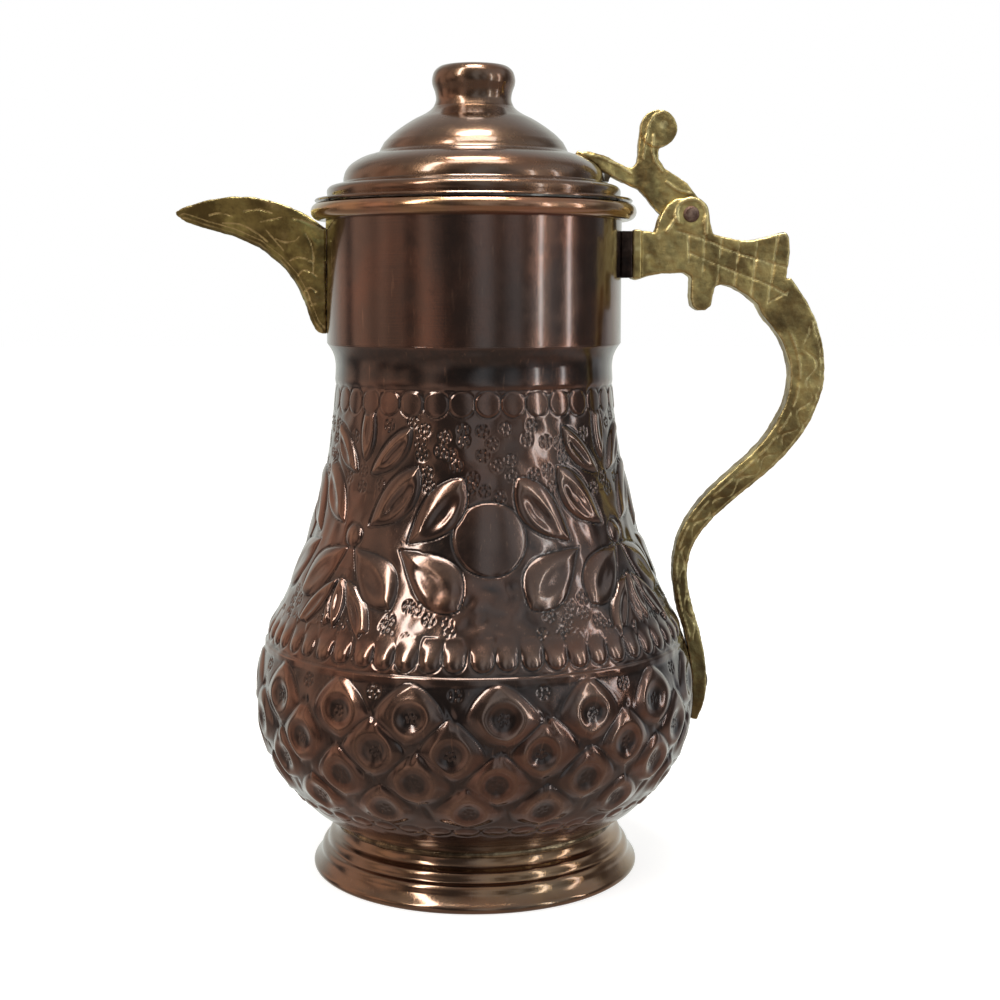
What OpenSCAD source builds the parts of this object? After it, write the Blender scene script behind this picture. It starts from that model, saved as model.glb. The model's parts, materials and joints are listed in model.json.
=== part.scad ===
// Copper water jug: a spun and chased copper vessel on a foot ring, with a brass
// beak soldered to its neck, a cast brass handle and a domed lid hinged on the handle.
// Millimetres. Origin: centre of the foot's underside. +Z up, handle towards +X,
// beak towards -X.

/* [Copper sheet] */
// Thickness of the vessel's wall
sheet = 1; // [0.8:0.1:1.2]
// Thickness of the lid's sheet
lid_sheet = 0.8; // [0.6:0.1:1]
// Outer radius of the straight neck
neck_r = 52; // [51.8:0.1:52.2]
// Height of the step where the neck begins
step_z = 189.5; // [189:0.25:190]

/* [Wired edges] */
// Radius of the rolled bead round the mouth
bead_r = 2.7; // [2.5:0.1:2.9]
// Radius of the iron wire in the mouth's bead
wire_r = 1.6; // [1.2:0.1:1.6]
// Height of the middle of the mouth's bead
bead_z = 235.6; // [235:0.1:236]
// Radius of the rolled bead round the foot
foot_bead_r = 1.7; // [1.5:0.1:1.9]
// Radius of the wire in the foot's bead
foot_wire_r = 0.8; // [0.5:0.1:0.9]

/* [Strainer] */
// Radius of each hole behind the beak
strainer_r = 1.5; // [1:0.1:1.6]
// Distance between neighbouring holes of one row
strainer_pitch = 4.1; // [3.8:0.1:4.3]
// Number of rows, one hole fewer in each row going down
strainer_rows = 4; // [2:1:4]

/* [Beak] */
// Wall of the cast beak
beak_wall = 1.9; // [1.5:0.1:2.2]
// Thickness of the solder between beak and neck
solder_t = 0.3; // [0.2:0.1:0.5]

/* [Handle] */
// Thickness of the handle's block, across the jug
block_w = 11.5; // [10.5:0.5:12.5]
// Radius of the studs cast on the handle's root
stud_r = 2; // [1.5:0.1:2.5]
// Distance of each stud from the middle of the root
stud_z = 4.6; // [4:0.2:5]
// Radius of the lower rivet's shank
rivet_r = 1.7; // [1.2:0.1:2]

/* [Hinge] */
// Distance of the hinge pin from the jug's axis
hinge_x = 76; // [75.5:0.1:76.5]
// Height of the hinge pin
hinge_z = 234.3; // [234:0.1:234.6]
// Radius of the hinge pin
pin_r = 2; // [1.5:0.1:2.2]
// Running clearance of the lever on the pin
pin_gap = 0.05; // [0.02:0.01:0.1]
// Thickness of the lever between the two ears
lever_w = 5.6; // [5:0.1:6]
// Gap between the lever and each ear
ear_gap = 0.3; // [0.2:0.05:0.4]

/* [Lid] */
// Outer radius of the collar that drops into the mouth
bezel_r = 50.2; // [49.8:0.1:50.4]
// Depth of that collar below the lid's flange
bezel_drop = 7; // [5:0.5:8]

/* [Hidden] */
$fn = 96;
eps = 0.01;

copper = "#6b3526";
brass = "#9a8544";
tin = "#9d9a92";
iron = "#5a5350";

// Outside of the bowl from the flat bottom to the neck's step: [radius, height].
bowl_stations = [
    [44, 17], [50, 18.3], [56, 22], [62.5, 27], [68.5, 33], [73, 39.5], [76.2, 47], [78, 54],
    [78.8, 62], [78.6, 70], [77.4, 78], [75, 86], [71.5, 94.5], [67, 103.5], [62.6, 113.5],
    [59, 123], [56, 133.5], [53.7, 144], [51.8, 155.5], [50.3, 167], [49.2, 179],
    [49.3, 183.5], [50.2, 186.5], [neck_r, step_z],
];
// Outside of the foot ring above its bead: [radius, height].
foot_stations = [
    [58.6, 2.8], [57.4, 4.2], [56.3, 6], [56, 7.4], [55.2, 8.7], [53.9, 9.6], [53.6, 11],
    [52.8, 12.5], [50.9, 13.8], [49.9, 16], [49.8, 19.5],
];
lid_gap = 0.3;
lid_rest_z = bead_z + bead_r + lid_gap;
// Outside of the lid from its flange to the foot of the knob: [radius, height].
lid_flange = [[55.7, lid_rest_z], [55.7, 239.4], [52.4, 239.9], [51, 240.2]];
lid_step = [[51.5, 241.2], [51.4, 242.6], [50.4, 243.7], [48.6, 244.3], [46.5, 244.7], [45.7, 245.3]];
lid_torus = [
    [45.7, 246.4], [45.1, 248.6], [43.7, 250.7], [41.5, 252.4], [38.6, 253.9], [35.4, 254.9],
    [33.3, 255.6], [32.7, 256.6],
];
lid_dome = [
    [31.4, 259], [28.7, 261.7], [25.3, 264.3], [21.2, 266.9], [17.8, 268.6], [15.4, 270.1],
    [14.1, 271.4],
];
// Outside of the knob from the dome to its flat top: [radius, height].
knob_stations = [
    [14.1, 271.4], [13.2, 273.8], [13.5, 276.4], [14.4, 279], [14.5, 281.2], [13.7, 283.6],
    [11.8, 285.2], [9.5, 285.6],
];
flange_in_r = 47;

// Beak, from the neck to the tip: keel [x, z], lip [x, z], half width at the lip.
beak_stations = [
    [-neck_r, 192.4, -neck_r, 229, 10.6],
    [-55.2, 193.2, -53.8, 230.2, 10.9],
    [-57.2, 195.8, -56.4, 232.2, 11.2],
    [-58.9, 200.3, -59.4, 234.3, 11.6],
    [-60.9, 205.9, -62.8, 236, 11.9],
    [-63.8, 211.6, -66.8, 237.6, 12],
    [-68.7, 217.2, -71.8, 239, 11.7],
    [-75.6, 222.7, -78.2, 240, 10.6],
    [-85.4, 226.9, -86.6, 240, 8.4],
    [-95.3, 229.7, -95.6, 238.4, 5.5],
    [-101.8, 231.9, -102, 236.6, 2.9],
    [-105.2, 234.3, -105.3, 235.4, 1.1],
];
beak_steps = 3;
keel_half = 1.5;
section_steps = [0, 0.12, 0.32, 0.6, 1];
strainer_top_z = 223.5;
strainer_row_gap = 5.5;

// Handle's side view. Block, from the root round by the finger spur and the tail.
root_x = 55.4;
block_outline = [
    [root_x, 212.3], [56.9, 211.4], [61, 212.9], [66, 213.8], [74, 214.1], [76.3, 212.6],
    [76.2, 205.5], [76.8, 202.4], [78.6, 201], [81.4, 200.9], [83.6, 202.3], [84, 206],
    [84.8, 209.3], [87.5, 210], [91.5, 208.9], [96, 206.2], [99.3, 203.3], [104, 202],
    [114.2, 205.6], [111.4, 208.3], [109.6, 211.4], [110.3, 216], [110.8, 221],
    [110.4, 226.4], [109.4, 228.1], [107.4, 227.8], [103, 226.5], [97, 225.2], [92, 225.5],
    [87, 226.6], [83.8, 227.4], [63.4, 227.6], [61.8, 228.3], [root_x, 228.8],
];
// The same view of one ear, apart from the round top about the pin.
ear_r = 6.3;
ear_foot = [[63.5, 226], [63.5, 228.2], [65.5, 234.2], [67.6, 237.6], [70.6, 239.6]];
ear_back = [[82.3, 234.6], [82.7, 231.6], [83.9, 227], [83.9, 226]];
// The curved grip below the block: [x, z, width in the side view].
grip_stations = [
    [105, 209, 14], [108, 203.8, 15.4], [111.8, 198.6, 14.6], [115.5, 191.5, 13.4],
    [117.8, 182.5, 12.3], [117.6, 174, 11.5], [114.9, 164.7, 10.6], [109.4, 155.6, 9.6],
    [102.9, 148, 8.9], [95.3, 141.3, 8.5], [87, 134, 8], [80.8, 127, 7.2], [76.1, 119.3, 6.2],
    [74.1, 111, 5.4], [74.1, 103.8, 5.2], [75.7, 95, 5.4], [78.4, 86, 5.4], [80.2, 77.5, 5.6],
    [80.9, 69, 5.8], [80.8, 61, 5], [79.8, 53.2, 2.2],
];
// Half of the handle's thickness at each height: [half thickness, z].
grip_halves = [
    [2, 50], [3.8, 54], [5, 60], [5.3, 68], [4.8, 76], [3.9, 88], [3.5, 100], [3.7, 115],
    [4.3, 135], [4.8, 155], [5.3, 180], [block_w / 2, 205], [block_w / 2, 245],
];
root_half = 8;
root_z = 220.4;
root_h = 16.9;
slot_z = 227.6;
bore_gap = 0.05;
// Keeps the solder off the flats of the beak's root.
root_gap = 0.05;
// Section of the solder in the seam between foot and bowl.
seam_fillet = [[49.85, 16.4], [49.85, 19], [52.2, 19.6]];
// Round hole in the lid's crown, under the knob.
lid_eye_r = 8;
rivet_seat_x = 83.4;
rivet_head_r = 2.9;
pin_head_r = 2.8;
arm_x = 58.6;
lower_rivet_z = 67;

// Lever's side view, from the tongue's tip over the thumb piece to the pin.
ball_x = 64.6;
ball_z = 264;
ball_r = 6.4;
knuckle_r = 5.9;
lever_over = [
    [35.1, 254.5], [36.2, 256], [40.4, 255.8], [45.2, 254.7], [49.8, 252.6], [53.4, 250.6],
    [55.6, 250.7], [57, 252.2], [57.5, 255], [57.6, 259], [58.2, 263.6], [64.6, 264],
    [66.4, 259.4], [64.6, 256.6], [64.8, 253.4], [66.8, 250.3], [71, 247.8], [75, 244.8],
    [78.6, 240.4], [80.6, 237.6],
];
lever_under = [
    [71, 231.3], [65.6, 234.2], [62.7, 237.2], [60.4, 240.2], [57.6, 243.2], [55, 244.2],
    [50, 246.6], [45.6, 248.9],
];
// The tongue lies on the lid's shoulder, which this point and slope follow.
tongue_x = 40;
tongue_z = 253.35;
tongue_slope = 26.5;
tongue_half = 5.5;
tongue_rivet_r = 1.1;
tongue_rivet_pitch = 3.6;
// Depth of the rivets' inner ends and height of their flush outer ends, along the rivet.
tongue_rivet_in = 2.9;
tongue_rivet_out = 2.1;
tongue_plan = [[33, 3.4], [35.4, 5], [39, 5.5], [44, 4.9], [50, 3.4], [54, 2.8]];
// Side view of the solder between the tongue's underside and the lid's flank.
solder_lump = [[45, 249.1], [48, 247.5], [47.4, 246.5], [47.2, 245.6], [45, 245.7]];
solder_half = 3.5;
flank_r = 45.8;

// A smooth curve through the points p, with n steps between neighbours.
function cr(a, b, c, d, t) =
    b + 0.5 * t * (c - a + t * (2 * a - 5 * b + 4 * c - d + t * (3 * b - a - 3 * c + d)));
function spline(p, n) = [
    for (i = [0 : len(p) - 2])
        for (k = [0 : n - 1])
            cr(p[max(i - 1, 0)], p[i], p[i + 1], p[min(i + 2, len(p) - 1)], k / n),
    p[len(p) - 1],
];
// Unit vector along the curve c at its point i.
function along(c, i) =
    let (d = c[min(i + 1, len(c) - 1)] - c[max(i - 1, 0)])
    [d[0], d[1]] / norm([d[0], d[1]]);
// Point i of the curve c, moved by d to its left.
function beside(c, i, d) = [c[i][0] - d * along(c, i)[1], c[i][1] + d * along(c, i)[0]];
// The outline of a sheet of thickness t whose outer side is the curve c.
function sheet_outline(c, t) =
    concat(c, [for (i = [len(c) - 1 : -1 : 0]) beside(c, i, t)]);
// The outline of a band along the curve c, whose third number is its width.
function band_outline(c) = concat(
    [for (i = [0 : len(c) - 1]) beside(c, i, c[i][2] / 2)],
    [for (i = [len(c) - 1 : -1 : 0]) beside(c, i, -c[i][2] / 2)]
);
// Points of an arc about [x, y] from angle a to angle b.
function arc(x, y, r, a, b, n) =
    [for (k = [0 : n]) [x + r * cos(a + (b - a) * k / n), y + r * sin(a + (b - a) * k / n)]];

bowl_curve = spline(bowl_stations, 3);
bead_x = neck_r + bead_r - 0.4;
foot_bead_x = 57.3;

// Half the outline of a hammered rivet head of radius r and height h.
function dome_profile(r, h) = [
    [0, 0], [r, 0], [r, 0.25 * h], [0.93 * r, 0.5 * h], [0.74 * r, 0.78 * h],
    [0.42 * r, 0.95 * h], [0, h],
];

// Stands a side view up: its first axis along X, its second along Z.
module side(w) {
    rotate([90, 0, 0])
        linear_extrude(w, center = true) children();
}

// A round bar along X from x0 to x1.
module bar_x(x0, x1, r) {
    translate([x0, 0, 0])
        rotate([0, 90, 0]) cylinder(h = x1 - x0, r = r);
}

// Places children at both studs of the handle's root.
module at_studs() {
    for (s = [-1, 1])
        translate([0, 0, root_z + s * stud_z]) children();
}

// Everything inside the bowl's and the neck's outer surface, grown by gap.
module jug_space(gap = 0) {
    rotate_extrude()
        polygon(concat(
            [[0, bowl_curve[0][1] - gap]],
            [for (i = [0 : len(bowl_curve) - 1]) beside(bowl_curve, i, -gap)],
            [[neck_r + gap, bead_z], [0, bead_z]]
        ));
}

// A rolled edge of radius r round a wire, open along one slit at the angle a.
module bead_profile(x, z, r, inner, a) {
    translate([x, z])
        difference() {
            circle(r);
            circle(inner);
            rotate(a) translate([0, -0.15]) square([r + 1, 0.3]);
        }
}

module vessel() {
    wall = concat(
        [[0, bowl_curve[0][1]]], bowl_curve,
        [[neck_r, bead_z]]
    );
    color(copper)
        difference() {
            rotate_extrude() {
                polygon(sheet_outline(wall, sheet));
                bead_profile(bead_x, bead_z, bead_r, wire_r + bore_gap, -60);
            }
            for (row = [0 : strainer_rows - 1])
                for (k = [0 : strainer_rows - 1 - row])
                    translate([
                        0,
                        (k - (strainer_rows - 1 - row) / 2) * strainer_pitch,
                        strainer_top_z - row * strainer_row_gap,
                    ])
                        bar_x(-neck_r - 2, -neck_r + 6, strainer_r);
            at_studs() bar_x(neck_r - 6, neck_r + 2, stud_r + bore_gap);
            translate([0, 0, lower_rivet_z]) bar_x(70, 84, rivet_r + bore_gap);
        }
}

module rim_wire() {
    color(iron)
        rotate_extrude() translate([bead_x, bead_z]) circle(wire_r);
}

module foot() {
    color(copper)
        difference() {
            rotate_extrude()
                difference() {
                    union() {
                        polygon(sheet_outline(spline(foot_stations, 3), sheet));
                        bead_profile(foot_bead_x, foot_bead_r, foot_bead_r, foot_wire_r, 160);
                    }
                    translate([foot_bead_x, foot_bead_r]) circle(foot_wire_r + bore_gap);
                }
            jug_space();
        }
}

module foot_wire() {
    color(iron)
        rotate_extrude() translate([foot_bead_x, foot_bead_r]) circle(foot_wire_r);
}

module foot_solder() {
    color(tin)
        difference() {
            rotate_extrude() polygon(seam_fillet);
            jug_space();
        }
}

// Half width of the beak's outside at s, which runs from 0 at the keel to 1 at the lip.
function beak_y(half, s) =
    let (keel = keel_half * half / 12)
    keel + (half - keel) * pow(s, 0.72);
// The point at s and y of one cross-section. The first one follows the neck.
function beak_point(st, s, y) =
    let (at_neck = st[0] > -neck_r - eps)
    [
        at_neck ? -sqrt(pow(neck_r + solder_t, 2) - y * y) : st[0] + (st[2] - st[0]) * s,
        y,
        st[1] + (st[3] - st[1]) * s,
    ];
// One cross-section as a closed loop: out up one side, in down it, and the same again.
function beak_section(st) =
    let (
        wall = min(beak_wall, st[4] * 0.55),
        floor_s = min(0.8, wall * 1.5 / (st[3] - st[1])),
        outer = [for (s = section_steps) [s, beak_y(st[4], s)]],
        inner = [
            for (i = [len(section_steps) - 1 : -1 : 1])
                let (s = floor_s + (1 - floor_s) * section_steps[i])
                [s, max(beak_y(st[4], s) - wall, 0.12)]
        ],
        right = [for (p = concat(outer, inner)) beak_point(st, p[0], p[1])]
    )
    concat(right, [for (i = [len(right) - 1 : -1 : 0]) [right[i][0], -right[i][1], right[i][2]]]);
// Triangles over one end of the beak, whose loop of n points begins at first.
function beak_cap(n, first, flip) =
    let (
        q = n / 2,
        wall = [for (i = [0 : 2]) for (f = [[i, i + 1, q - 2 - i], [i, q - 2 - i, q - 1 - i]]) f],
        right = concat(wall, [[3, 4, 5]]),
        left = [for (f = right) [n - 1 - f[0], n - 1 - f[2], n - 1 - f[1]]],
        keel = [[0, q - 1, n - q], [0, n - q, n - 1]]
    )
    [for (f = concat(right, left, keel)) [for (k = (flip ? [2, 1, 0] : [0, 1, 2])) first + f[k]]];

module spout() {
    rings = [for (st = spline(beak_stations, beak_steps)) beak_section(st)];
    n = len(rings[0]);
    last = len(rings) - 1;
    points = [for (ring = rings) for (p = ring) p];
    sides = [
        for (r = [0 : last - 1])
            for (i = [0 : n - 1])
                let (a = r * n + i, b = r * n + (i + 1) % n)
                for (f = [[a, a + n, b + n], [a, b + n, b]]) f
    ];
    color(brass)
        polyhedron(points, concat(sides, beak_cap(n, 0, false), beak_cap(n, last * n, true)));
}

// A half outline [y, z], listed upwards, joined to its mirror image.
function both_sides(p) = concat(p, [for (i = [len(p) - 1 : -1 : 0]) [-p[i][0], p[i][1]]]);

module spout_solder() {
    st = beak_stations[0];
    grow = 0.7;
    rise = st[3] - st[1];
    outer = [for (s = section_steps) [beak_y(st[4], s) + grow, st[1] + rise * s]];
    hollow = [
        for (s = [0.2, 0.35, 0.6, 1.1])
            [max(beak_y(st[4], s) - beak_wall - grow / 2, 0.5), st[1] + rise * s]
    ];
    color(tin)
        intersection() {
            rotate_extrude()
                translate([neck_r, st[1] - grow]) square([solder_t - root_gap, rise + grow]);
            translate([8 - neck_r, 0, 0])
                rotate([90, 0, -90])
                    linear_extrude(12)
                        difference() {
                            polygon(both_sides(concat([[keel_half, st[1] - grow]], outer)));
                            polygon(both_sides(hollow));
                        }
        }
}

module handle_saddle() {
    color(copper)
        difference() {
            translate([neck_r - 3, -root_half, root_z - root_h / 2 + 0.4])
                cube([root_x - neck_r + 3, 2 * root_half, root_h - 0.8]);
            jug_space();
            at_studs() bar_x(neck_r - 4, root_x + 1, stud_r + bore_gap);
        }
}

module ears() {
    side(block_w)
        polygon(concat(ear_foot, arc(hinge_x, hinge_z, ear_r, 115, 8, 10), ear_back));
}

// The grip's thickness, as seen along X.
module grip_front() {
    rotate([90, 0, 90])
        linear_extrude(200)
            polygon(concat(
                grip_halves,
                [for (i = [len(grip_halves) - 1 : -1 : 0]) [-grip_halves[i][0], grip_halves[i][1]]]
            ));
}

module handle() {
    color(brass) {
        difference() {
            union() {
                side(block_w) polygon(block_outline);
                ears();
                intersection() {
                    side(4 * block_w) polygon(band_outline(spline(grip_stations, 3)));
                    grip_front();
                }
                translate([root_x, 0.5 - root_half, root_z - root_h / 2])
                    cube([arm_x - root_x, 2 * root_half - 1, root_h]);
            }
            translate([62.5, -lever_w / 2 - ear_gap, slot_z])
                cube([30, lever_w + 2 * ear_gap, 30]);
            translate([hinge_x, 0, hinge_z])
                rotate([90, 0, 0]) cylinder(h = 40, r = pin_r + 0.02, center = true);
            translate([0, 0, lower_rivet_z]) {
                bar_x(70, 90, rivet_r + bore_gap);
                bar_x(rivet_seat_x, 90, rivet_head_r + bore_gap);
            }
            jug_space(bore_gap);
        }
        at_studs() bar_x(neck_r - 3.4, root_x + 1, stud_r);
    }
}

module upper_roves() {
    rove_r = 3.4;
    seat_x = sqrt(pow(neck_r - sheet, 2) - pow(rove_r, 2)) - 0.03;
    color(copper)
        at_studs()
            difference() {
                bar_x(seat_x - 1.3, seat_x, rove_r);
                bar_x(seat_x - 3, seat_x + 1, stud_r + bore_gap);
            }
}

module lower_rivet() {
    color(copper)
        translate([0, 0, lower_rivet_z]) {
            bar_x(74.8, rivet_seat_x + 0.1, rivet_r);
            translate([rivet_seat_x, 0, 0])
                rotate([0, 90, 0])
                    rotate_extrude() polygon(dome_profile(rivet_head_r, 1.4));
        }
}

module lower_rove() {
    rove_r = 4;
    color(copper)
        translate([0, 0, lower_rivet_z])
            difference() {
                bar_x(76.3, 77.3, rove_r);
                bar_x(75, 79, rivet_r + bore_gap);
            }
}

module hinge_pin() {
    color(iron)
        translate([hinge_x, 0, hinge_z]) {
            rotate([90, 0, 0]) cylinder(h = block_w + 0.2, r = pin_r, center = true);
            for (s = [-1, 1])
                translate([0, s * block_w / 2, 0])
                    rotate([-s * 90, 0, 0])
                        rotate_extrude() polygon(dome_profile(pin_head_r, 0.9));
        }
}

// The lid's outer surface from the flange up to the knob.
function lid_curve() = concat(
    lid_flange, spline(lid_step, 3), spline(lid_torus, 3), spline(lid_dome, 3)
);

// Everything under the lid's outer surface, grown by gap.
module lid_space(gap = 0) {
    curve = lid_curve();
    rotate_extrude()
        polygon(concat(
            [[0, lid_rest_z]],
            [for (i = [0 : len(curve) - 1]) beside(curve, i, -gap)],
            [[0, curve[len(curve) - 1][1]]]
        ));
}

// Places children at both tongue rivets, with +Z out of the lid.
module at_tongue_rivets() {
    for (s = [-0.5, 0.5])
        translate([tongue_x, s * tongue_rivet_pitch, tongue_z])
            rotate([0, tongue_slope, 0]) children();
}

module tongue_bores() {
    at_tongue_rivets()
        translate([0, 0, -4]) cylinder(h = 8, r = tongue_rivet_r + bore_gap);
}

module lid_shell() {
    curve = lid_curve();
    top_z = curve[len(curve) - 1][1];
    color(copper)
        difference() {
            rotate_extrude()
                polygon(concat(
                    [[flange_in_r, lid_rest_z]],
                    curve,
                    [[lid_eye_r, top_z], [lid_eye_r, top_z - lid_sheet]],
                    [for (i = [len(curve) - 1 : -1 : len(lid_flange) + 1]) beside(curve, i, lid_sheet)],
                    [[flange_in_r, lid_rest_z + lid_sheet]]
                ));
            tongue_bores();
        }
}

module lid_knob() {
    top = knob_stations[len(knob_stations) - 1];
    color(copper)
        difference() {
            rotate_extrude()
                polygon(sheet_outline(concat(spline(knob_stations, 3), [[0, top[1]]]), lid_sheet));
            lid_space();
        }
}

module lid_bezel() {
    color(copper)
        rotate_extrude()
            translate([bezel_r - lid_sheet, lid_rest_z - bezel_drop]) square([lid_sheet, bezel_drop]);
}

// The lever in side view, round its knuckle.
module lever_profile() {
    polygon(concat(lever_over, arc(hinge_x, hinge_z, knuckle_r, 30, -140, 12), lever_under));
}

// The wide leaf at the lever's tip, which lies on the lid's shoulder.
module tongue_leaf() {
    intersection() {
        side(4 * tongue_half) lever_profile();
        translate([0, 0, 240])
            linear_extrude(30)
                polygon(concat(
                    tongue_plan,
                    [for (i = [len(tongue_plan) - 1 : -1 : 0]) [tongue_plan[i][0], -tongue_plan[i][1]]]
                ));
    }
}

module thumb_lever() {
    color(brass)
        difference() {
            union() {
                side(lever_w) lever_profile();
                tongue_leaf();
                translate([ball_x, 0, ball_z])
                    rotate([90, 0, 0]) cylinder(h = lever_w + 1, r = ball_r, center = true);
            }
            translate([hinge_x, 0, hinge_z])
                rotate([90, 0, 0]) cylinder(h = 40, r = pin_r + pin_gap, center = true);
            lid_space(bore_gap);
            tongue_bores();
        }
}

module tongue_solder() {
    color(tin)
        difference() {
            side(2 * solder_half) polygon(solder_lump);
            translate([0, 0, lid_rest_z]) cylinder(h = 15, r = flank_r, $fn = 360);
        }
}

module tongue_rivets() {
    color(copper)
        at_tongue_rivets()
            translate([0, 0, -tongue_rivet_in])
                cylinder(h = tongue_rivet_in + tongue_rivet_out, r = tongue_rivet_r);
}

module tongue_roves() {
    rove_r = 1.7;
    color(copper)
        at_tongue_rivets()
            translate([0, 0, -tongue_rivet_in + 0.4])
                difference() {
                    cylinder(h = 1.1, r = rove_r);
                    translate([0, 0, -1]) cylinder(h = 3, r = tongue_rivet_r + bore_gap);
                }
}

vessel();
rim_wire();
foot();
foot_wire();
foot_solder();
spout();
spout_solder();
handle();
handle_saddle();
upper_roves();
lower_rivet();
lower_rove();
hinge_pin();
lid_shell();
lid_knob();
lid_bezel();
thumb_lever();
tongue_solder();
tongue_rivets();
tongue_roves();
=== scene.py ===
import json
import math

import bpy
import numpy as np
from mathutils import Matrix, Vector


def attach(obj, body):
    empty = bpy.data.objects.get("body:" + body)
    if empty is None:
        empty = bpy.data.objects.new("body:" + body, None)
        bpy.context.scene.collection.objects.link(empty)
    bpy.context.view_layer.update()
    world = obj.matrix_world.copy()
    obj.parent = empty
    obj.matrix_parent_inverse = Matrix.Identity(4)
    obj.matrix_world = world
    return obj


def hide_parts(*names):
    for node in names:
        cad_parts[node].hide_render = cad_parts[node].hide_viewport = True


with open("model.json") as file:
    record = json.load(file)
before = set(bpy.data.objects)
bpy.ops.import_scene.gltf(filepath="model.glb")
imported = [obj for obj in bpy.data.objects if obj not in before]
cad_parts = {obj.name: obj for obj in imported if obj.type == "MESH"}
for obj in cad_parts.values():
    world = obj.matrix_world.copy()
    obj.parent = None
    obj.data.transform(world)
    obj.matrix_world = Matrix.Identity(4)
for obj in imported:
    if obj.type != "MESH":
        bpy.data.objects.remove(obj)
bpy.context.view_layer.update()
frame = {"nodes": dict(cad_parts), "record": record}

MM = 0.001
TURN = 2 * math.pi


# ---------------------------------------------------------------- helpers
def smoothstep(low, high, x):
    """0 up to low and 1 from high on, or the other way round where low is the larger."""
    t = np.clip((x - low) / (high - low), 0, 1)
    return t * t * (3 - 2 * t)


def ridge(distance, width, height):
    """A soft line of that height, at each distance from its middle."""
    return height * np.exp(-(distance / width) ** 2)


def spline(points, steps):
    """Catmull-Rom through the points."""
    p = np.array([points[0]] + list(points) + [points[-1]], float)
    out = []
    for i in range(len(points) - 1):
        a, b, c, d = p[i:i + 4]
        for k in range(steps):
            t = k / steps
            out.append(0.5 * (2 * b + (c - a) * t + (2 * a - 5 * b + 4 * c - d) * t * t
                              + (3 * b - a - 3 * c + d) * t ** 3))
    out.append(p[-1])
    return np.array(out)


def resample(curve, step):
    """The curve again, with points a step apart along it."""
    lengths = np.concatenate([[0], np.cumsum(np.hypot(*np.diff(curve, axis=0).T))])
    n = max(2, int(round(lengths[-1] / step)) + 1)
    s = np.linspace(0, lengths[-1], n)
    return np.stack([np.interp(s, lengths, curve[:, k]) for k in range(2)], 1)


def beside(curve, distance):
    """The curve moved sideways, to the left of its direction."""
    d = np.gradient(curve, axis=0)
    d /= np.maximum(np.hypot(*d.T), 1e-9)[:, None]
    return curve + distance * np.stack([-d[:, 1], d[:, 0]], 1)


def arc(centre, radius, start, end, n):
    """Points on an arc, from one angle in degrees to the other."""
    a = np.radians(np.linspace(start, end, n))
    return np.stack([centre[0] + radius * np.cos(a), centre[1] + radius * np.sin(a)], 1)


def lumps(co, size, seed, waves=22):
    """Smooth seeded noise of about -1 to 1 with features of that size, at points in mm."""
    rng = np.random.default_rng(seed)
    k = rng.normal(size=(waves, 3))
    k *= (TURN / size * rng.uniform(0.6, 1.5, waves) / np.linalg.norm(k, axis=1))[:, None]
    phase = rng.uniform(0, TURN, waves)
    total = np.zeros(len(co))
    for i in range(waves):
        total += np.sin(co @ k[i] + phase[i])
    return total / math.sqrt(waves / 2) * 0.6


def make(name, verts, faces, material, body, replaces=(), sharp=None, marks=None):
    """A mesh piece from points in mm, which rides on a body."""
    mesh = bpy.data.meshes.new(name)
    mesh.from_pydata((np.asarray(verts) * MM).tolist(), [], faces)
    mesh.validate()
    mesh.update()
    obj = bpy.data.objects.new(name, mesh)
    bpy.context.scene.collection.objects.link(obj)
    finish_piece(obj, material, body, replaces, sharp, marks)
    return obj


def finish_piece(obj, material, body, replaces, sharp=None, marks=None):
    """Gives a piece its materials, its attributes and its place in the frame."""
    mesh = obj.data
    for m in material if isinstance(material, (list, tuple)) else [material]:
        mesh.materials.append(m)
    mesh.shade_smooth()
    if sharp:
        mesh.set_sharp_from_angle(angle=math.radians(sharp))
    for key, values in (marks or {}).items():
        mesh.attributes.new(key, "FLOAT", "POINT").data.foreach_set(
            "value", np.asarray(values, np.float32))
    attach(obj, body)
    if replaces:
        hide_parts(*replaces)


def turned(profile, columns):
    """Points and faces of a profile of (radius, height) turned about Z. Ends on the axis become one point."""
    first = 1 if profile[0][0] < 1e-6 else 0
    last = len(profile) - (1 if profile[-1][0] < 1e-6 else 0)
    a = np.arange(columns) * TURN / columns
    ring = np.asarray(profile[first:last])
    x = ring[:, 0, None] * np.sin(a)
    y = -ring[:, 0, None] * np.cos(a)
    z = np.repeat(ring[:, 1, None], columns, 1)
    verts = np.stack([x, y, z], 2).reshape(-1, 3)
    faces = grid_faces(len(ring), columns, False)
    extra = []
    if first:
        extra.append((0.0, 0.0, profile[0][1]))
        tip = len(verts)
        faces += [(tip, (k + 1) % columns, k) for k in range(columns)]
    if last < len(profile):
        tip = len(verts) + len(extra)
        extra.append((0.0, 0.0, profile[-1][1]))
        base = (len(ring) - 1) * columns
        faces += [(tip, base + k, base + (k + 1) % columns) for k in range(columns)]
    if extra:
        verts = np.concatenate([verts, np.array(extra)])
    return verts, faces


def grid_faces(rows, columns, closed):
    """Quads of a grid whose columns wrap round, and whose rows do too if closed."""
    r = np.arange(rows if closed else rows - 1)[:, None]
    c = np.arange(columns)[None, :]
    r2, c2 = (r + 1) % rows, (c + 1) % columns
    quads = np.stack([r * columns + c, r * columns + c2, r2 * columns + c2, r2 * columns + c], 2)
    return [tuple(q) for q in quads.reshape(-1, 4).tolist()]


def push_out(verts, push):
    """Moves points away from the jug's axis, in mm."""
    r = np.maximum(np.hypot(verts[:, 0], verts[:, 1]), 1e-6)
    verts[:, :2] *= (1 + push / r)[:, None]


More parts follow.
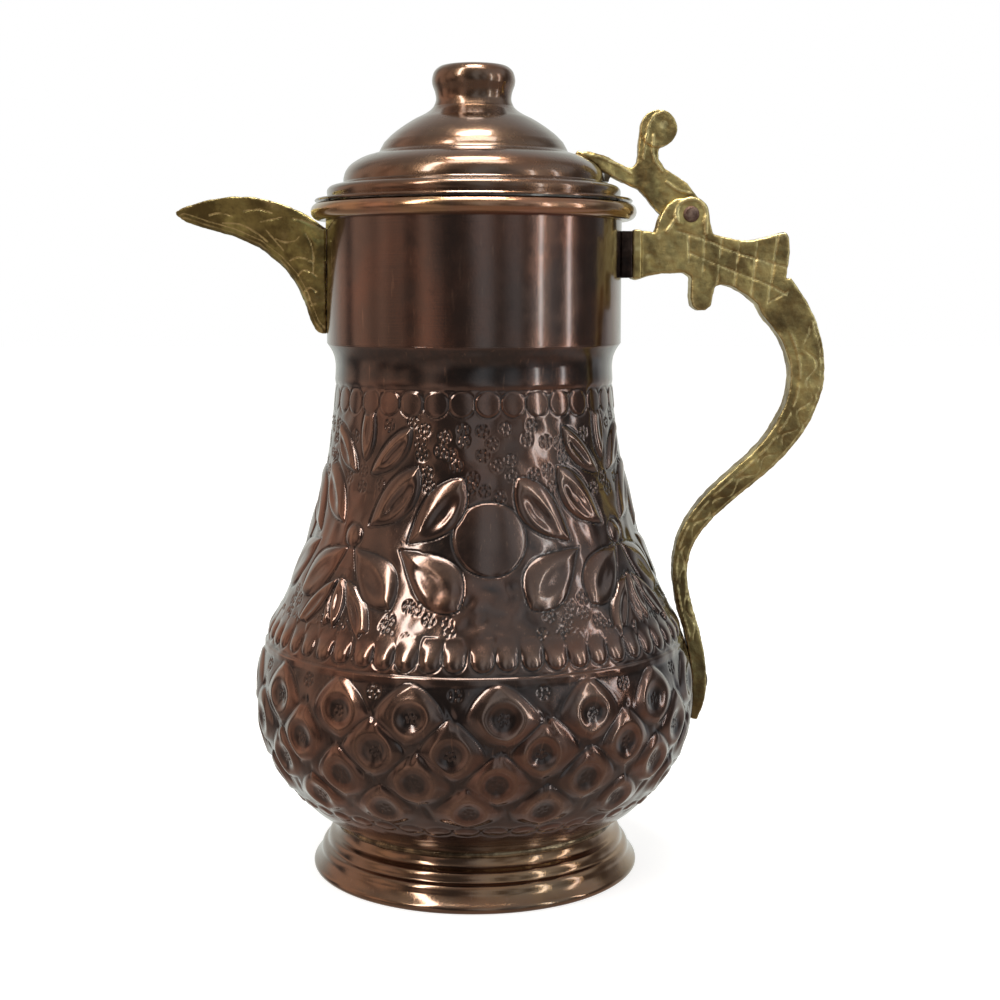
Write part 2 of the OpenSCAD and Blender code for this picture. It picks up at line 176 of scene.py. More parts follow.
def lathe(name, profile, columns, material, body, replaces=(), sharp=35, wobble=0.0, seed=1):
    """A turned piece; wobble is the depth of its hand-made unevenness."""
    verts, faces = turned(profile, columns)
    push_out(verts, lumps(verts, 30, seed) * wobble)
    return make(name, verts, faces, material, body, replaces, sharp)


def paint_rows(obj, columns, starts):
    """Material slots of a turned grid's faces: each (row, slot) holds from that row to the next one."""
    slots = np.zeros(len(obj.data.polygons), np.int32)
    for row, slot in starts:
        slots[row * columns:] = slot
    obj.data.polygons.foreach_set("material_index", slots)


# ---------------------------------------------------------------- materials
def tree_of(name):
    """A new material, its nodes, its links and its shader."""
    material = bpy.data.materials.new(name)
    material.use_nodes = True
    nodes = material.node_tree.nodes
    return material, nodes, material.node_tree.links, nodes["Principled BSDF"]


class Graph:
    """Short names for the nodes that the metals share."""

    def __init__(self, nodes, links):
        self.nodes, self.links = nodes, links
        self.place = nodes.new("ShaderNodeTexCoord").outputs["Object"]

    def finish(self, bsdf, colour, rough, normal, metallic=1.0):
        bsdf.inputs["Metallic"].default_value = metallic
        for key, value in (("Base Color", colour), ("Roughness", rough), ("Normal", normal)):
            self.links.new(value, bsdf.inputs[key])

    def noise(self, scale, detail=4.0, rough=0.55, stretch=(1, 1, 1)):
        place = self.place
        if stretch != (1, 1, 1):
            mapping = self.nodes.new("ShaderNodeMapping")
            mapping.inputs["Scale"].default_value = stretch
            self.links.new(place, mapping.inputs["Vector"])
            place = mapping.outputs["Vector"]
        n = self.nodes.new("ShaderNodeTexNoise")
        n.inputs["Scale"].default_value = scale
        n.inputs["Detail"].default_value = detail
        n.inputs["Roughness"].default_value = rough
        self.links.new(place, n.inputs["Vector"])
        return n.outputs["Fac"]

    def remap(self, value, low, high, to_low=0.0, to_high=1.0):
        n = self.nodes.new("ShaderNodeMapRange")
        n.interpolation_type = "SMOOTHSTEP"
        for key, v in zip(("From Min", "From Max", "To Min", "To Max"), (low, high, to_low, to_high)):
            n.inputs[key].default_value = v
        self.links.new(value, n.inputs["Value"])
        return n.outputs["Result"]

    def put(self, socket, value):
        """Links another node's output, or sets a colour."""
        if isinstance(value, tuple):
            socket.default_value = (*value, 1)
        else:
            self.links.new(value, socket)

    def mix(self, fac, a, b):
        n = self.nodes.new("ShaderNodeMix")
        n.data_type = "RGBA"
        for key, value in (("Factor", fac), ("A", a), ("B", b)):
            self.put(n.inputs[key], value)
        return n.outputs["Result"]

    def times(self, a, b):
        n = self.nodes.new("ShaderNodeMath")
        n.operation = "MULTIPLY"
        self.put(n.inputs[0], a)
        self.put(n.inputs[1], b)
        return n.outputs[0]

    def mark(self, name):
        n = self.nodes.new("ShaderNodeAttribute")
        n.attribute_name = name
        return n.outputs["Fac"]

    def height(self):
        n = self.nodes.new("ShaderNodeSeparateXYZ")
        self.links.new(self.place, n.inputs["Vector"])
        return n.outputs["Z"]

    def bump(self, height, strength, distance, before=None):
        n = self.nodes.new("ShaderNodeBump")
        n.inputs["Strength"].default_value = strength
        n.inputs["Distance"].default_value = distance
        self.links.new(height, n.inputs["Height"])
        if before is not None:
            self.links.new(before, n.inputs["Normal"])
        return n.outputs["Normal"]


COPPER_DEEP = (0.022, 0.016, 0.014)     # oxide in the hollows; also the painted shade below the step and on the handle's saddle
COPPER_BROWN = (0.130, 0.077, 0.056)
COPPER_RED = (0.205, 0.094, 0.057)
COPPER_WORN = (0.42, 0.26, 0.175)       # rubbed high spots
COPPER_GOLD = (0.50, 0.30, 0.11)        # golden tarnish
BRASS_DULL = (0.165, 0.118, 0.050)
BRASS_FAIR = (0.36, 0.278, 0.116)
BRASS_BRIGHT = (0.60, 0.50, 0.205)
BRASS_WORN = (0.70, 0.60, 0.29)
BRASS_BROWN = (0.085, 0.066, 0.036)     # the lower part of the grip
BRASS_SPOTS = (0.095, 0.070, 0.035)
BRASS_DEEP = (0.070, 0.044, 0.022)      # in the cuts
BRIGHTEST = 0.92                        # no metal here reflects more than this


def lit(colour, light):
    """The colour made lighter by a factor, as far as a real metal allows."""
    return tuple(c * min(light, BRIGHTEST / max(colour)) for c in colour)


def copper(name, relief=False, lathe_marks=0.0, gold=0.0, light=1.0, gloss=(0.12, 0.27), spots=0.55):
    """Oxidised copper, rubbed back on what stands out, under a thin lacquer; where the relief mark is lowered
    below the step, its dark colour is painted shade.
    """
    material, nodes, links, bsdf = tree_of(name)
    g = Graph(nodes, links)
    tint = lit(COPPER_BROWN, light)
    warm = lit(COPPER_RED, light)
    colour = g.mix(g.remap(g.noise(30, 4), 0.44, 0.64), tint, warm)
    colour = g.mix(g.remap(g.noise(120, 6, 0.7), 0.5, 0.78, 0, spots), colour, COPPER_DEEP)
    rough = g.remap(g.noise(150, 6, 0.65), 0.3, 0.75, *gloss)
    if gold:
        colour = g.mix(g.remap(g.noise(26, 3), 0.35, 0.7, 0.15, gold), colour, COPPER_GOLD)
    if relief:
        r = g.mark("relief")
        # low marks give the hollows their oxide, and give the flare below the step its painted shade
        low = g.remap(r, 0.15, 0.49, 0.88, 0.0)
        grain = g.noise(420, 4, 0.7)
        colour = g.mix(g.times(low, g.remap(grain, 0.2, 0.7, 0.65, 1.0)), colour, COPPER_DEEP)
        worn = g.times(g.remap(r, 0.57, 0.95), g.remap(grain, 0.25, 0.6, 0.15, 0.6))
        colour = g.mix(worn, colour, COPPER_WORN)
    scratches = g.remap(g.noise(900, 2, 0.4, (1, 1, 0.12)), 0.66, 0.74, 0, 0.25)
    colour = g.mix(scratches, colour, COPPER_WORN)
    bsdf.inputs["Coat Weight"].default_value = 1.0
    bsdf.inputs["Coat Roughness"].default_value = 0.11
    bsdf.inputs["Coat IOR"].default_value = 1.65
    normal = g.bump(g.noise(1100, 3, 0.6), 0.15, 0.0002)
    normal = g.bump(g.noise(130, 3, 0.5), 0.07 if lathe_marks else 0.16, 0.0006, normal)
    if lathe_marks:
        lines = g.noise(800, 3, 0.6, (0.006, 0.006, 2.0))
        normal = g.bump(lines, lathe_marks, 0.0002, normal)
    g.finish(bsdf, colour, rough, normal)
    return material


def brass(name, light=1.0, green=1.0):
    """Cast brass: olive where it is tarnished, yellow where hands and the file have been."""
    material, nodes, links, bsdf = tree_of(name)
    g = Graph(nodes, links)
    dull, fair, bright = (
        lit((r, y * green, b), light) for r, y, b in (BRASS_DULL, BRASS_FAIR, BRASS_BRIGHT))
    colour = g.mix(g.remap(g.noise(70, 5, 0.6), 0.40, 0.62), dull, fair)
    colour = g.mix(g.remap(g.noise(95, 3, 0.5), 0.56, 0.72, 0, 0.75), colour, bright)
    colour = g.mix(g.remap(g.height(), 0.17, 0.09, 0, 0.65), colour, BRASS_BROWN)
    colour = g.mix(g.remap(g.noise(160, 6, 0.7), 0.5, 0.75, 0, 0.6), colour, BRASS_SPOTS)
    rough = g.remap(g.noise(260, 5, 0.6), 0.3, 0.72, 0.28, 0.50)
    r = g.mark("relief")
    grain = g.noise(520, 4, 0.7)
    low = g.times(g.remap(r, 0.14, 0.48, 0.9, 0.0), g.remap(grain, 0.2, 0.7, 0.6, 1.0))
    colour = g.mix(low, colour, BRASS_DEEP)
    high = g.times(g.remap(r, 0.56, 0.86), g.remap(grain, 0.3, 0.62, 0.3, 1.0))
    colour = g.mix(high, colour, lit(BRASS_WORN, light))
    normal = g.bump(g.noise(1400, 4, 0.7), 0.30, 0.0002)
    normal = g.bump(g.noise(380, 4, 0.6), 0.45, 0.0007, normal)
    g.finish(bsdf, colour, rough, normal)
    return material


def dull_metal(name, dark, pale, low_rough, high_rough, scale=90):
    """Tin, solder, iron, or the saddle's copper painted near black as shade, between a dark and a pale
    colour.
    """
    material, nodes, links, bsdf = tree_of(name)
    g = Graph(nodes, links)
    colour = g.mix(g.remap(g.noise(scale, 6, 0.65), 0.35, 0.68), dark, pale)
    rough = g.remap(g.noise(scale * 2.3, 5), 0.3, 0.7, low_rough, high_rough)
    g.finish(bsdf, colour, rough, g.bump(g.noise(scale * 7, 4, 0.6), 0.35, 0.0003), 0.95)
    return material


chased = copper("chased_copper", relief=True)
spun = copper("spun_copper", lathe_marks=0.26)
# the bead's copper is made lighter as a painted highlight, and carries golden tarnish
rim_copper_painted_highlight = copper("rim_copper_painted_highlight", lathe_marks=0.12, gold=0.9, light=2.4, gloss=(0.13, 0.28), spots=0.45)
lid_copper = copper("lid_copper", lathe_marks=0.16, gold=0.15, light=0.92, gloss=(0.19, 0.31), spots=0.4)
foot_copper = copper("foot_copper", lathe_marks=0.12, gold=0.5, light=1.2, gloss=(0.07, 0.20), spots=0.45)
small_copper = copper("small_copper")
cast_brass = brass("cast_brass", 1.8, 1.03)
spout_brass = brass("spout_brass", 1.1, 1.12)
tinned = dull_metal("tinned_inside", (0.36, 0.35, 0.33), (0.60, 0.59, 0.56), 0.28, 0.5, 70)
solder = dull_metal("solder", (0.085, 0.060, 0.036), (0.40, 0.31, 0.19), 0.10, 0.28, 110)
iron = dull_metal("iron_pin", (0.14, 0.085, 0.065), (0.33, 0.24, 0.19), 0.35, 0.6, 300)
# painted shade: the saddle between neck and handle is coloured near black
saddle_painted_shade = dull_metal("dark_saddle", COPPER_DEEP, (0.075, 0.05, 0.04), 0.35, 0.6, 160)

# ---------------------------------------------------------------- camera, floor, light
LOOKS_DOWN = 7          # degrees
FLOOR_REACH = 6.0
scene = bpy.context.scene
scene.view_settings.view_transform = "Standard"
camera = bpy.data.objects.new("camera", bpy.data.cameras.new("camera"))
camera.location = (0.0092, -0.600, 0.2067)
camera.rotation_euler = (math.radians(90 - LOOKS_DOWN), 0, 0)
camera.data.sensor_width = 36
camera.data.lens = 60.48
scene.collection.objects.link(camera)
scene.camera = camera

floor_mesh = bpy.data.meshes.new("floor")
corners = [(x * FLOOR_REACH, y * FLOOR_REACH, 0) for x, y in ((-1, -1), (1, -1), (1, 1), (-1, 1))]
floor_mesh.from_pydata(corners, [], [(0, 1, 2, 3)])
floor = bpy.data.objects.new("floor", floor_mesh)
scene.collection.objects.link(floor)
pale, _, _, floor_shader = tree_of("pale_floor")
for socket, value in {
        "Base Color": (0.62, 0.62, 0.615, 1), "Roughness": 0.6, "Specular IOR Level": 0.2,
        "Emission Color": (1, 1, 0.995, 1), "Emission Strength": 0.78}.items():
    floor_shader.inputs[socket].default_value = value
floor_mesh.materials.append(pale)
floor.visible_glossy = False


def studio_world():
    """A pale wall behind the jug and a dim room, warm and cool, before it. The camera sees white."""
    world = bpy.data.worlds.new("studio")
    world.use_nodes = True
    nodes, links = world.node_tree.nodes, world.node_tree.links
    nodes.clear()
    g = Graph(nodes, links)
    g.place = nodes.new("ShaderNodeTexCoord").outputs["Generated"]
    split = nodes.new("ShaderNodeSeparateXYZ")
    links.new(g.place, split.inputs["Vector"])
    behind = g.remap(split.outputs["Y"], 0.48, 0.84)
    under_ceiling = g.remap(split.outputs["Z"], 0.35, 0.75, 1.0, 0.3)
    white = g.times(behind, under_ceiling)
    shade = g.remap(g.noise(2.2, 1, 0.5, (1, 1, 0.4)), 0.38, 0.62)
    to_right = g.remap(split.outputs["X"], -0.75, 0.1)
    lit_wall = g.mix(to_right, (0.60, 0.42, 0.33), (0.41, 0.44, 0.47))
    room = g.mix(shade, (0.095, 0.085, 0.082), lit_wall)
    ceiling = g.remap(split.outputs["Z"], 0.35, 0.9, 0.0, 0.8)
    room = g.mix(ceiling, room, (0.42, 0.37, 0.34))
    table = g.remap(split.outputs["Z"], -0.15, -0.45, 0.0, 0.75)
    room = g.mix(table, room, (0.34, 0.26, 0.22))
    colour = g.mix(white, room, (0.62, 0.64, 0.60))
    room_light = nodes.new("ShaderNodeBackground")
    links.new(colour, room_light.inputs["Color"])
    seen = nodes.new("ShaderNodeBackground")
    seen.inputs["Color"].default_value = (1, 1, 1, 1)
    blend = nodes.new("ShaderNodeMixShader")
    links.new(nodes.new("ShaderNodeLightPath").outputs["Is Camera Ray"], blend.inputs["Fac"])
    links.new(room_light.outputs["Background"], blend.inputs[1])
    links.new(seen.outputs["Background"], blend.inputs[2])
    out = nodes.new("ShaderNodeOutputWorld")
    links.new(blend.outputs["Shader"], out.inputs["Surface"])
    return world


scene.world = studio_world()
LIT_HEIGHT = 0.14       # the lights aim at the jug's middle


def soft_light(name, azimuth, elevation, distance, width, height, power, colour):
    """An area light that faces the jug. Azimuth 0 is the camera's side, positive towards the handle."""
    data = bpy.data.lights.new(name, "AREA")
    data.shape = "RECTANGLE"
    data.size, data.size_y = width, height
    data.energy = power
    data.color = colour
    obj = bpy.data.objects.new(name, data)
    a, e = math.radians(azimuth), math.radians(elevation)
    back = Vector((math.sin(a) * math.cos(e), -math.cos(a) * math.cos(e), math.sin(e)))
    obj.location = Vector((0, 0, LIT_HEIGHT)) + back * distance
    obj.rotation_mode = "QUATERNION"
    obj.rotation_quaternion = back.to_track_quat("Z", "Y")
    scene.collection.objects.link(obj)


soft_light("window_left", -42, 40, 1.3, 0.17, 0.95, 5.5, (1.0, 0.95, 0.90))
soft_light("strip_right", 52, 10, 1.3, 0.06, 0.85, 0.9, (0.95, 0.99, 1.0))
soft_light("strip_far_right", 77, 10, 1.3, 0.07, 0.85, 0.9, (0.98, 0.98, 1.0))
soft_light("front_top", 6, 68, 1.5, 0.9, 0.34, 6, (1.0, 0.95, 0.90))
soft_light("overhead", 8, 86, 1.2, 0.44, 0.34, 9, (1.0, 0.94, 0.88))

# ---------------------------------------------------------------- the vessel's wall
SHEET = 1.0
NECK_R = 52.0
STEP_Z = 189.5
FLOOR_Z = 17            # underside of the bowl's floor
# The bowl's outline through the highest points of the chasing: (radius, height).
bowl_stations = [
    (44, 17), (50, 18.3), (56, 22), (62.5, 27), (68.5, 33), (73, 39.5), (76.2, 47), (78, 54), (78.8, 62),
    (78.6, 70), (77.4, 78), (75, 86), (71.5, 94.5), (67, 103.5), (62.6, 113.5), (59, 123), (56, 133.5),
    (53.7, 144), (51.8, 155.5), (50.3, 167), (49.2, 179), (49.3, 183.5), (50.2, 186.5), (52, 189.5)]
COLUMNS = 1080
CHASED_LOW, CHASED_HIGH = 26.0, 176.0   # the wall is sampled finest between these heights
bowl = spline(bowl_stations, 24)
lower = bowl[bowl[:, 1] <= CHASED_LOW]
middle = bowl[(bowl[:, 1] >= CHASED_LOW) & (bowl[:, 1] <= CHASED_HIGH)]
upper = bowl[bowl[:, 1] >= CHASED_HIGH]
wall = np.concatenate([
    [[10, FLOOR_Z], [30, FLOOR_Z]],
    resample(lower, 1.2), resample(middle, 0.5)[1:], resample(upper, 0.9)[1:]])
arc_at = np.concatenate([[0], np.cumsum(np.hypot(*np.diff(wall, axis=0).T))])
angles = np.arange(COLUMNS) * 360 / COLUMNS
relief = np.zeros((len(wall), COLUMNS))     # how far each point stands out of the outline, in mm
taken = np.zeros_like(relief)               # 1 where a leaf or a boss leaves no room for stamps
dimple_darkening = np.zeros_like(relief)                # 1 in the dimples, which the colour makes darkest


def at_height(z):
    """Arc length along the wall at that height."""
    return np.interp(z, wall[:, 1], arc_at)


def window(azimuth, z, reach):
    """The part of the grid within reach of a point, with distances across and up from it in mm."""
    rows = np.nonzero(np.abs(arc_at - at_height(z)) < reach)[0]
    turn = (angles - azimuth + 180) % 360 - 180
    columns = np.nonzero(np.abs(np.radians(turn)) * wall[rows, 0].min() < reach)[0]
    across = np.radians(turn[columns])[None, :] * wall[rows, 0][:, None]
    up = np.repeat((arc_at[rows] - at_height(z))[:, None], len(columns), 1)
    return np.ix_(rows, columns), across, up


def ring_band(z, reach):
    """The rows within reach of a height, and how far above it each one lies in mm."""
    rows = np.nonzero(np.abs(arc_at - at_height(z)) < reach)[0]
    return rows, (arc_at[rows] - at_height(z))[:, None]


GROUND = -0.55          # the ground of the chasing, below the outline
SCALE_GROUND = -1.0     # the same between the scales


def lay_ground():
    """The chased zone lies a little below the smooth wall, and is uneven from the hammer."""
    depth = smoothstep(24, 30, wall[:, 1]) * smoothstep(176, 173.5, wall[:, 1])
    a = np.radians(angles)
    co = np.stack([
        wall[:, 0, None] * np.sin(a), -wall[:, 0, None] * np.cos(a),
        np.repeat(wall[:, 1, None], COLUMNS, 1)], 2).reshape(-1, 3)
    hammer = (lumps(co, 9, 11) * 0.16 + lumps(co, 24, 12) * 0.18).reshape(relief.shape)
    relief[:] = depth[:, None] * (GROUND + 0.8 * hammer)
    relief[:] += (1 - depth)[:, None] * (lumps(co, 36, 13) * 0.07).reshape(relief.shape)


LEAF_POINT = 0.68       # 1 would give a leaf long thin points, 0.5 blunt ones
LEAF_RISE = 1.0925


def press(where, inside, body, line_width, line_depth):
    """Raises a shape out of the ground with a chased line round it, and keeps the stamps off it."""
    cover = smoothstep(-0.35, 0.25, inside)
    relief[where] = relief[where] * (1 - cover) + body * cover - ridge(inside + 0.1, line_width, line_depth)
    taken[where] = np.maximum(taken[where], smoothstep(-1.8, -1.0, inside))


def leaf(base, tip, half, fullest, bend, hollow, hollow_side):
    """A raised leaf with a chased outline and a hollow along its middle. Base and tip are (azimuth, z).

    half is half its width, fullest how far along it is widest, bend how far its middle line bows in mm."""
    across = math.radians(tip[0] - base[0]) * np.interp((tip[1] + base[1]) / 2, wall[:, 1], wall[:, 0])
    up = at_height(tip[1]) - at_height(base[1])
    length = math.hypot(across, up)
    ux, uy = across / length, up / length
    where, p, q = window((base[0] + tip[0]) / 2, (base[1] + tip[1]) / 2, length / 2 + half + 3)
    mid_arc = (at_height(base[1]) + at_height(tip[1])) / 2 - at_height((base[1] + tip[1]) / 2)
    p, q = p + across / 2, q + up / 2 - mid_arc
    t = (p * ux + q * uy) / length
    v = q * ux - p * uy - bend * 4 * t * (1 - t)
    power = math.log(0.5) / math.log(fullest)
    width = half * np.sin(math.pi * np.clip(t, 1e-4, 1 - 1e-4) ** power) ** LEAF_POINT
    inside = np.where((t > 0) & (t < 1), width - np.abs(v),
                      -np.hypot(v, np.where(t < 0, -t, t - 1) * length))
    puff = 1 - (1 - np.clip(inside / (0.8 * half), 0, 1)) ** 2
    body = GROUND + 0.08 + LEAF_RISE * puff
    lens = np.hypot((v - hollow_side * half) / (0.46 * half), (t - 0.52) / 0.33)
    body -= hollow * 0.85 * smoothstep(1.15, 0.25, lens)
    press(where, inside, body, 0.36, 0.34)


def boss(azimuth, z, radius):
    """A smooth domed disc with a chased edge."""
    where, p, q = window(azimuth, z, radius + 3)
    inside = radius - np.hypot(p, q)
    inwards = np.clip(inside / radius, 0, 1)
    press(where, inside, GROUND + 0.15 + 0.95 * inwards * (2 - inwards), 0.4, 0.36)


def stamp(azimuth, z, turn, dots=5, size=2.15, depth=0.36):
    """A small flower punched into the ground."""
    where, p, q = window(azimuth, z, size + 1.4)
    rho = np.hypot(p, q)
    push = -depth * smoothstep(size + 0.5, size - 0.5, rho)
    for k in range(dots):
        a = turn + TURN * k / dots
        d2 = (p - 0.64 * size * math.cos(a)) ** 2 + (q - 0.64 * size * math.sin(a)) ** 2
        push += (depth + 0.18) * np.exp(-d2 / (0.27 * size) ** 2)
    relief[where] += push + ridge(rho, 0.22 * size, 0.8 * depth)


def around(first, count):
    """Evenly spaced azimuths."""
    return [first + 360 * k / count for k in range(count)]


def spread(shown, count):
    """The azimuths of a row of motifs: those on the camera's side as listed, the rest evenly."""
    rest = count - len(shown)
    gap = (360 - (shown[-1] - shown[0])) / (rest + 1)
    return list(shown) + [shown[-1] + gap * (k + 1) for k in range(rest)]


# A flower's leaves: base and tip as (degrees from its middle, z), half width, fullest, bend, hollow.
flower_leaves = [
    ((0, 151), (0, 172.5), 3.6, 0.45, 0.0, 0.5),
    ((3.5, 147), (20.5, 162.8), 4.3, 0.52, -1.2, 0.9),
    ((2.5, 112), (14.5, 92.8), 4.0, 0.5, 1.0, 0.8),
    ((0.5, 113), (-2, 97), 3.4, 0.5, 0.0, 0.7),
    ((6, 130), (24, 149.8), 6.3, 0.55, -1.5, 1.0),
    ((2, 122.5), (20.5, 105.0), 7.4, 0.6, 1.0, 0.55),
    ((20.5, 123), (40.5, 105.2), 8.2, 0.62, 1.6, 0.5),
    ((22, 125.5), (40.3, 146.6), 6.9, 0.58, -1.6, 1.0),
]
flower_centres = [-43.8, 57.0, 143.4, 229.8]
disc_middles = [6.0, 100.2, 186.6, 273.0]
DISC_Z, DISC_R, FAR_DISC_R = 127, 12.3, 10.5
PATCH_TOP = 113         # below each disc, the ground is hammered instead of stamped up to here


def lay_flowers():
    """Discs, and between them flowers whose leaves spread from a small boss to both sides."""
    boss(disc_middles[0], DISC_Z, DISC_R)
    for middle in disc_middles[1:]:
        boss(middle, DISC_Z, FAR_DISC_R)
    for centre in flower_centres:
        where, p, q = window(centre, 128, 13)
        relief[where] += ridge(np.hypot(p / 7, q / 11), 1, 0.5)
        for side in (1, -1):
            for base, tip, half, fullest, bend, hollow in flower_leaves:
                if base[0] == 0 and side < 0:
                    continue
                leaf((centre + side * base[0], base[1]), (centre + side * tip[0], tip[1]), half,
                     fullest, side * bend, hollow, -0.16 * side)
        boss(centre, 126.5, 4.2)


def in_patch(azimuth, z):
    """True in the plain hammered patch below each disc."""
    return any(abs((azimuth - m + 180) % 360 - 180) < 12 and z < PATCH_TOP for m in disc_middles)


def lay_stamps():
    """Flower stamps wherever the ground between the leaves is free, in loose clusters."""
    rng = np.random.default_rng(21)
    placed = []
    for low, high, wanted, gap in ((140, 165, 118, 4.3), (96, 108, 74, 4.1)):
        count = 0
        for _ in range(6000):
            if count == wanted:
                break
            azimuth, z = rng.uniform(0, 360), rng.uniform(low, high)
            row = int(np.searchsorted(wall[:, 1], z))
            column = int(azimuth / 360 * COLUMNS) % COLUMNS
            if taken[row, column] > 0.05 or in_patch(azimuth, z):
                continue
            spot = (math.radians(azimuth) * wall[row, 0], arc_at[row])
            if any(abs(spot[0] - s[0]) < gap and math.hypot(spot[0] - s[0], spot[1] - s[1]) < gap
                   for s in placed):
                continue
            placed.append(spot)
            count += 1
            stamp(azimuth, z, rng.uniform(0, TURN), 5 if rng.random() < 0.7 else 6)


def lay_patches():
    """Shallow round punches crowded below each disc."""
    rng = np.random.default_rng(22)
    for middle in disc_middles:
        for _ in range(60):
            azimuth, z = middle - 3 + rng.normal() * 6, rng.uniform(95, PATCH_TOP - 1)
            where, p, q = window(azimuth, z, 5)
            relief[where] -= ridge(np.hypot(p, q), 1.9, 0.15)


def lay_ovals():
    """A row of flat ovals below the step, and the line above it."""
    for azimuth in around(-3.9, 36):
        where, p, q = window(azimuth, 170.6, 6.5)
        rho = np.hypot(p / 4.35, q / 4.3)
        inside = smoothstep(1.04, 0.9, rho)
        relief[where] = relief[where] * (1 - inside) + (GROUND + 0.16 + 0.14 * (1 - rho ** 2)) * inside
        relief[where] -= ridge((rho - 1.02) * 4.3, 0.34, 0.22)
    rows, q = ring_band(175.2, 3)
    relief[rows] -= ridge(q, 0.45, 0.42)


def lay_tongues():
    """Tongues with round lower ends, and the raised line below them."""
    rng = np.random.default_rng(23)
    for azimuth in around(2.6, 56):
        where, p, q = window(azimuth + rng.normal() * 0.35, 89.6, 8)
        beyond = np.maximum(0.4 - q, 0) + np.maximum(q - 3.4, 0) * 0.6
        inside = 3.8 + rng.normal() * 0.12 - np.hypot(p, beyond)
        puff = 1 - (1 - np.clip(inside / 3.4, 0, 1)) ** 2
        body = GROUND - 0.05 + 0.85 * puff * smoothstep(7.2, 0.5, q)
        cover = smoothstep(-0.3, 0.25, inside)
        relief[where] = relief[where] * (1 - cover) + body * cover
        relief[where] -= ridge(inside + 0.1, 0.36, 0.30) * smoothstep(5.0, 1.5, q)
    rows, q = ring_band(84.3, 3)
    relief[rows] += ridge(q, 0.6, 0.28) - ridge(q - 0.95, 0.45, 0.26)


def lay_petals():
    """A row of low petals above the foot."""
    for azimuth in around(-1.5, 44):
        where, p, q = window(azimuth, 30.6, 5.5)
        rho = np.hypot(p / 3.9, q / 2.2)
        relief[where] += 0.40 * smoothstep(1.1, 0.55, rho)
        relief[where] -= ridge((rho - 1.15) * 2.4, 0.45, 0.18)


# Rows of scales: (azimuths listed for the camera's side, z of the dimple, height above and below it, half
# width).
scale_rows = [
    ((-33.8, -15.3, 7.5, 29.8), 72.3, 12.0, 9.2, 11.6),
    ((-24.6, -4.6, 18.2, 40.7), 60.4, 11.6, 9.0, 11.2),
    ((-34.5, -13.3, 6.5, 29.7, 53.3), 50.2, 10.6, 8.4, 10.8),
    ((-45.1, -23.3, -1.3, 19.0, 42.0), 39.6, 9.6, 7.4, 10.2),
]
SCALES = 16             # in each row, all round


def lay_scales():
    """Pointed cells pressed out side by side, each with a round dimple that has a flower stamp in it."""
    rng = np.random.default_rng(24)
    cells = np.full_like(relief, SCALE_GROUND)
    cuts = np.zeros_like(relief)
    dimples = []
    for shown, z, high, low, half in scale_rows:
        row = spread(shown, SCALES)
        for azimuth, after in zip(row, row[1:] + [row[0] + 360]):
            tall, wide = high * rng.uniform(0.94, 1.06), half * rng.uniform(0.93, 1.05)
            lean = rng.normal() * 0.07
            where, p, q = window(azimuth, z, 17)
            p = p - lean * q
            up = np.clip(q / tall, 0, 1)
            down = np.clip(-q / low, 0, 1)
            width = np.where(q > 0, wide * (1 - up ** 1.45) ** 0.80, wide * (1 - down ** 1.8) ** 0.7)
            beyond = np.maximum(np.maximum(q - tall, -q - low), 0)
            inside = np.where(beyond > 0, -beyond - np.abs(p) * 0.5, 0.8 * (width - np.abs(p)))
            soft = smoothstep(2, -4, q)
            crest = smoothstep(-1.6 - 1.4 * soft, 3.8 + 1.2 * soft, inside)
            cells[where] = np.maximum(cells[where], SCALE_GROUND + 1.2 * crest)
            strength = rng.uniform(0.15, 0.34) * smoothstep(-2.5, 3.5, q)
            cuts[where] = np.maximum(cuts[where], ridge(inside, 0.5, strength))
            dimples.append((azimuth + rng.normal() * 0.5, z - 0.4, rng.uniform(0.9, 1.1)))
            gap = (azimuth + after) / 2 + rng.normal() * 0.7
            where, p, q = window(gap, z - 0.5 + rng.normal() * 0.7, 8)
            pit = np.exp(-((p - 0.25 * q * rng.normal()) / 1.3) ** 2 - (q / 2.9) ** 2)
            cuts[where] = np.maximum(cuts[where], rng.uniform(0.25, 0.6) * pit)
    gate = (smoothstep(30, 35, wall[:, 1]) * smoothstep(83.4, 81.5, wall[:, 1]))[:, None]
    ground = relief - GROUND
    relief[:] = relief * (1 - gate) + (cells + 0.6 * ground - cuts) * gate
    for azimuth, z, size in dimples:
        where, p, q = window(azimuth, z, 9)
        rho = np.hypot(p / (4.9 * size), q / (4.8 * size))
        relief[where] -= 1.05 * smoothstep(1.25, 0.40, rho)
        relief[where] += ridge(rho - 1.36, 0.2, 0.12)
        dimple_darkening[where] = np.maximum(dimple_darkening[where], smoothstep(1.05, 0.55, rho))
        stamp(azimuth, z, rng.uniform(0, TURN), 5, 1.95, 0.30)
    tops = sorted(spread(scale_rows[0][0], SCALES))
    for a, b in zip(tops, tops[1:] + [tops[0] + 360]):
        stamp((a + b) / 2 + rng.normal() * 0.6, 79.7, rng.uniform(0, TURN), 5, 2.3, 0.36)


def flatten_seat():
    """The wall stays plain where the handle's foot is riveted on."""
    where, p, q = window(90, 66, 26)
    calm = smoothstep(1.15, 0.8, np.hypot(p / 8, q / 24))
    relief[where] = relief[where] * (1 - calm) - 0.15 * calm


def blur(field, reach):
    """The grid averaged twice over a square, wrapping round the jug."""
    for _ in range(2):
        for axis, wrap in ((0, "edge"), (1, "wrap")):
            pad = [(0, 0), (0, 0)]
            pad[axis] = (reach + 1, reach)
            sums = np.cumsum(np.pad(field, pad, mode=wrap), axis=axis)
            n = 2 * reach + 1
            field = (np.take(sums, range(n, sums.shape[axis]), axis)
                     - np.take(sums, range(0, sums.shape[axis] - n), axis)) / n
    return field


lay_ground()
lay_flowers()
lay_patches()
lay_stamps()
lay_ovals()
lay_tongues()
lay_petals()
lay_scales()
flatten_seat()
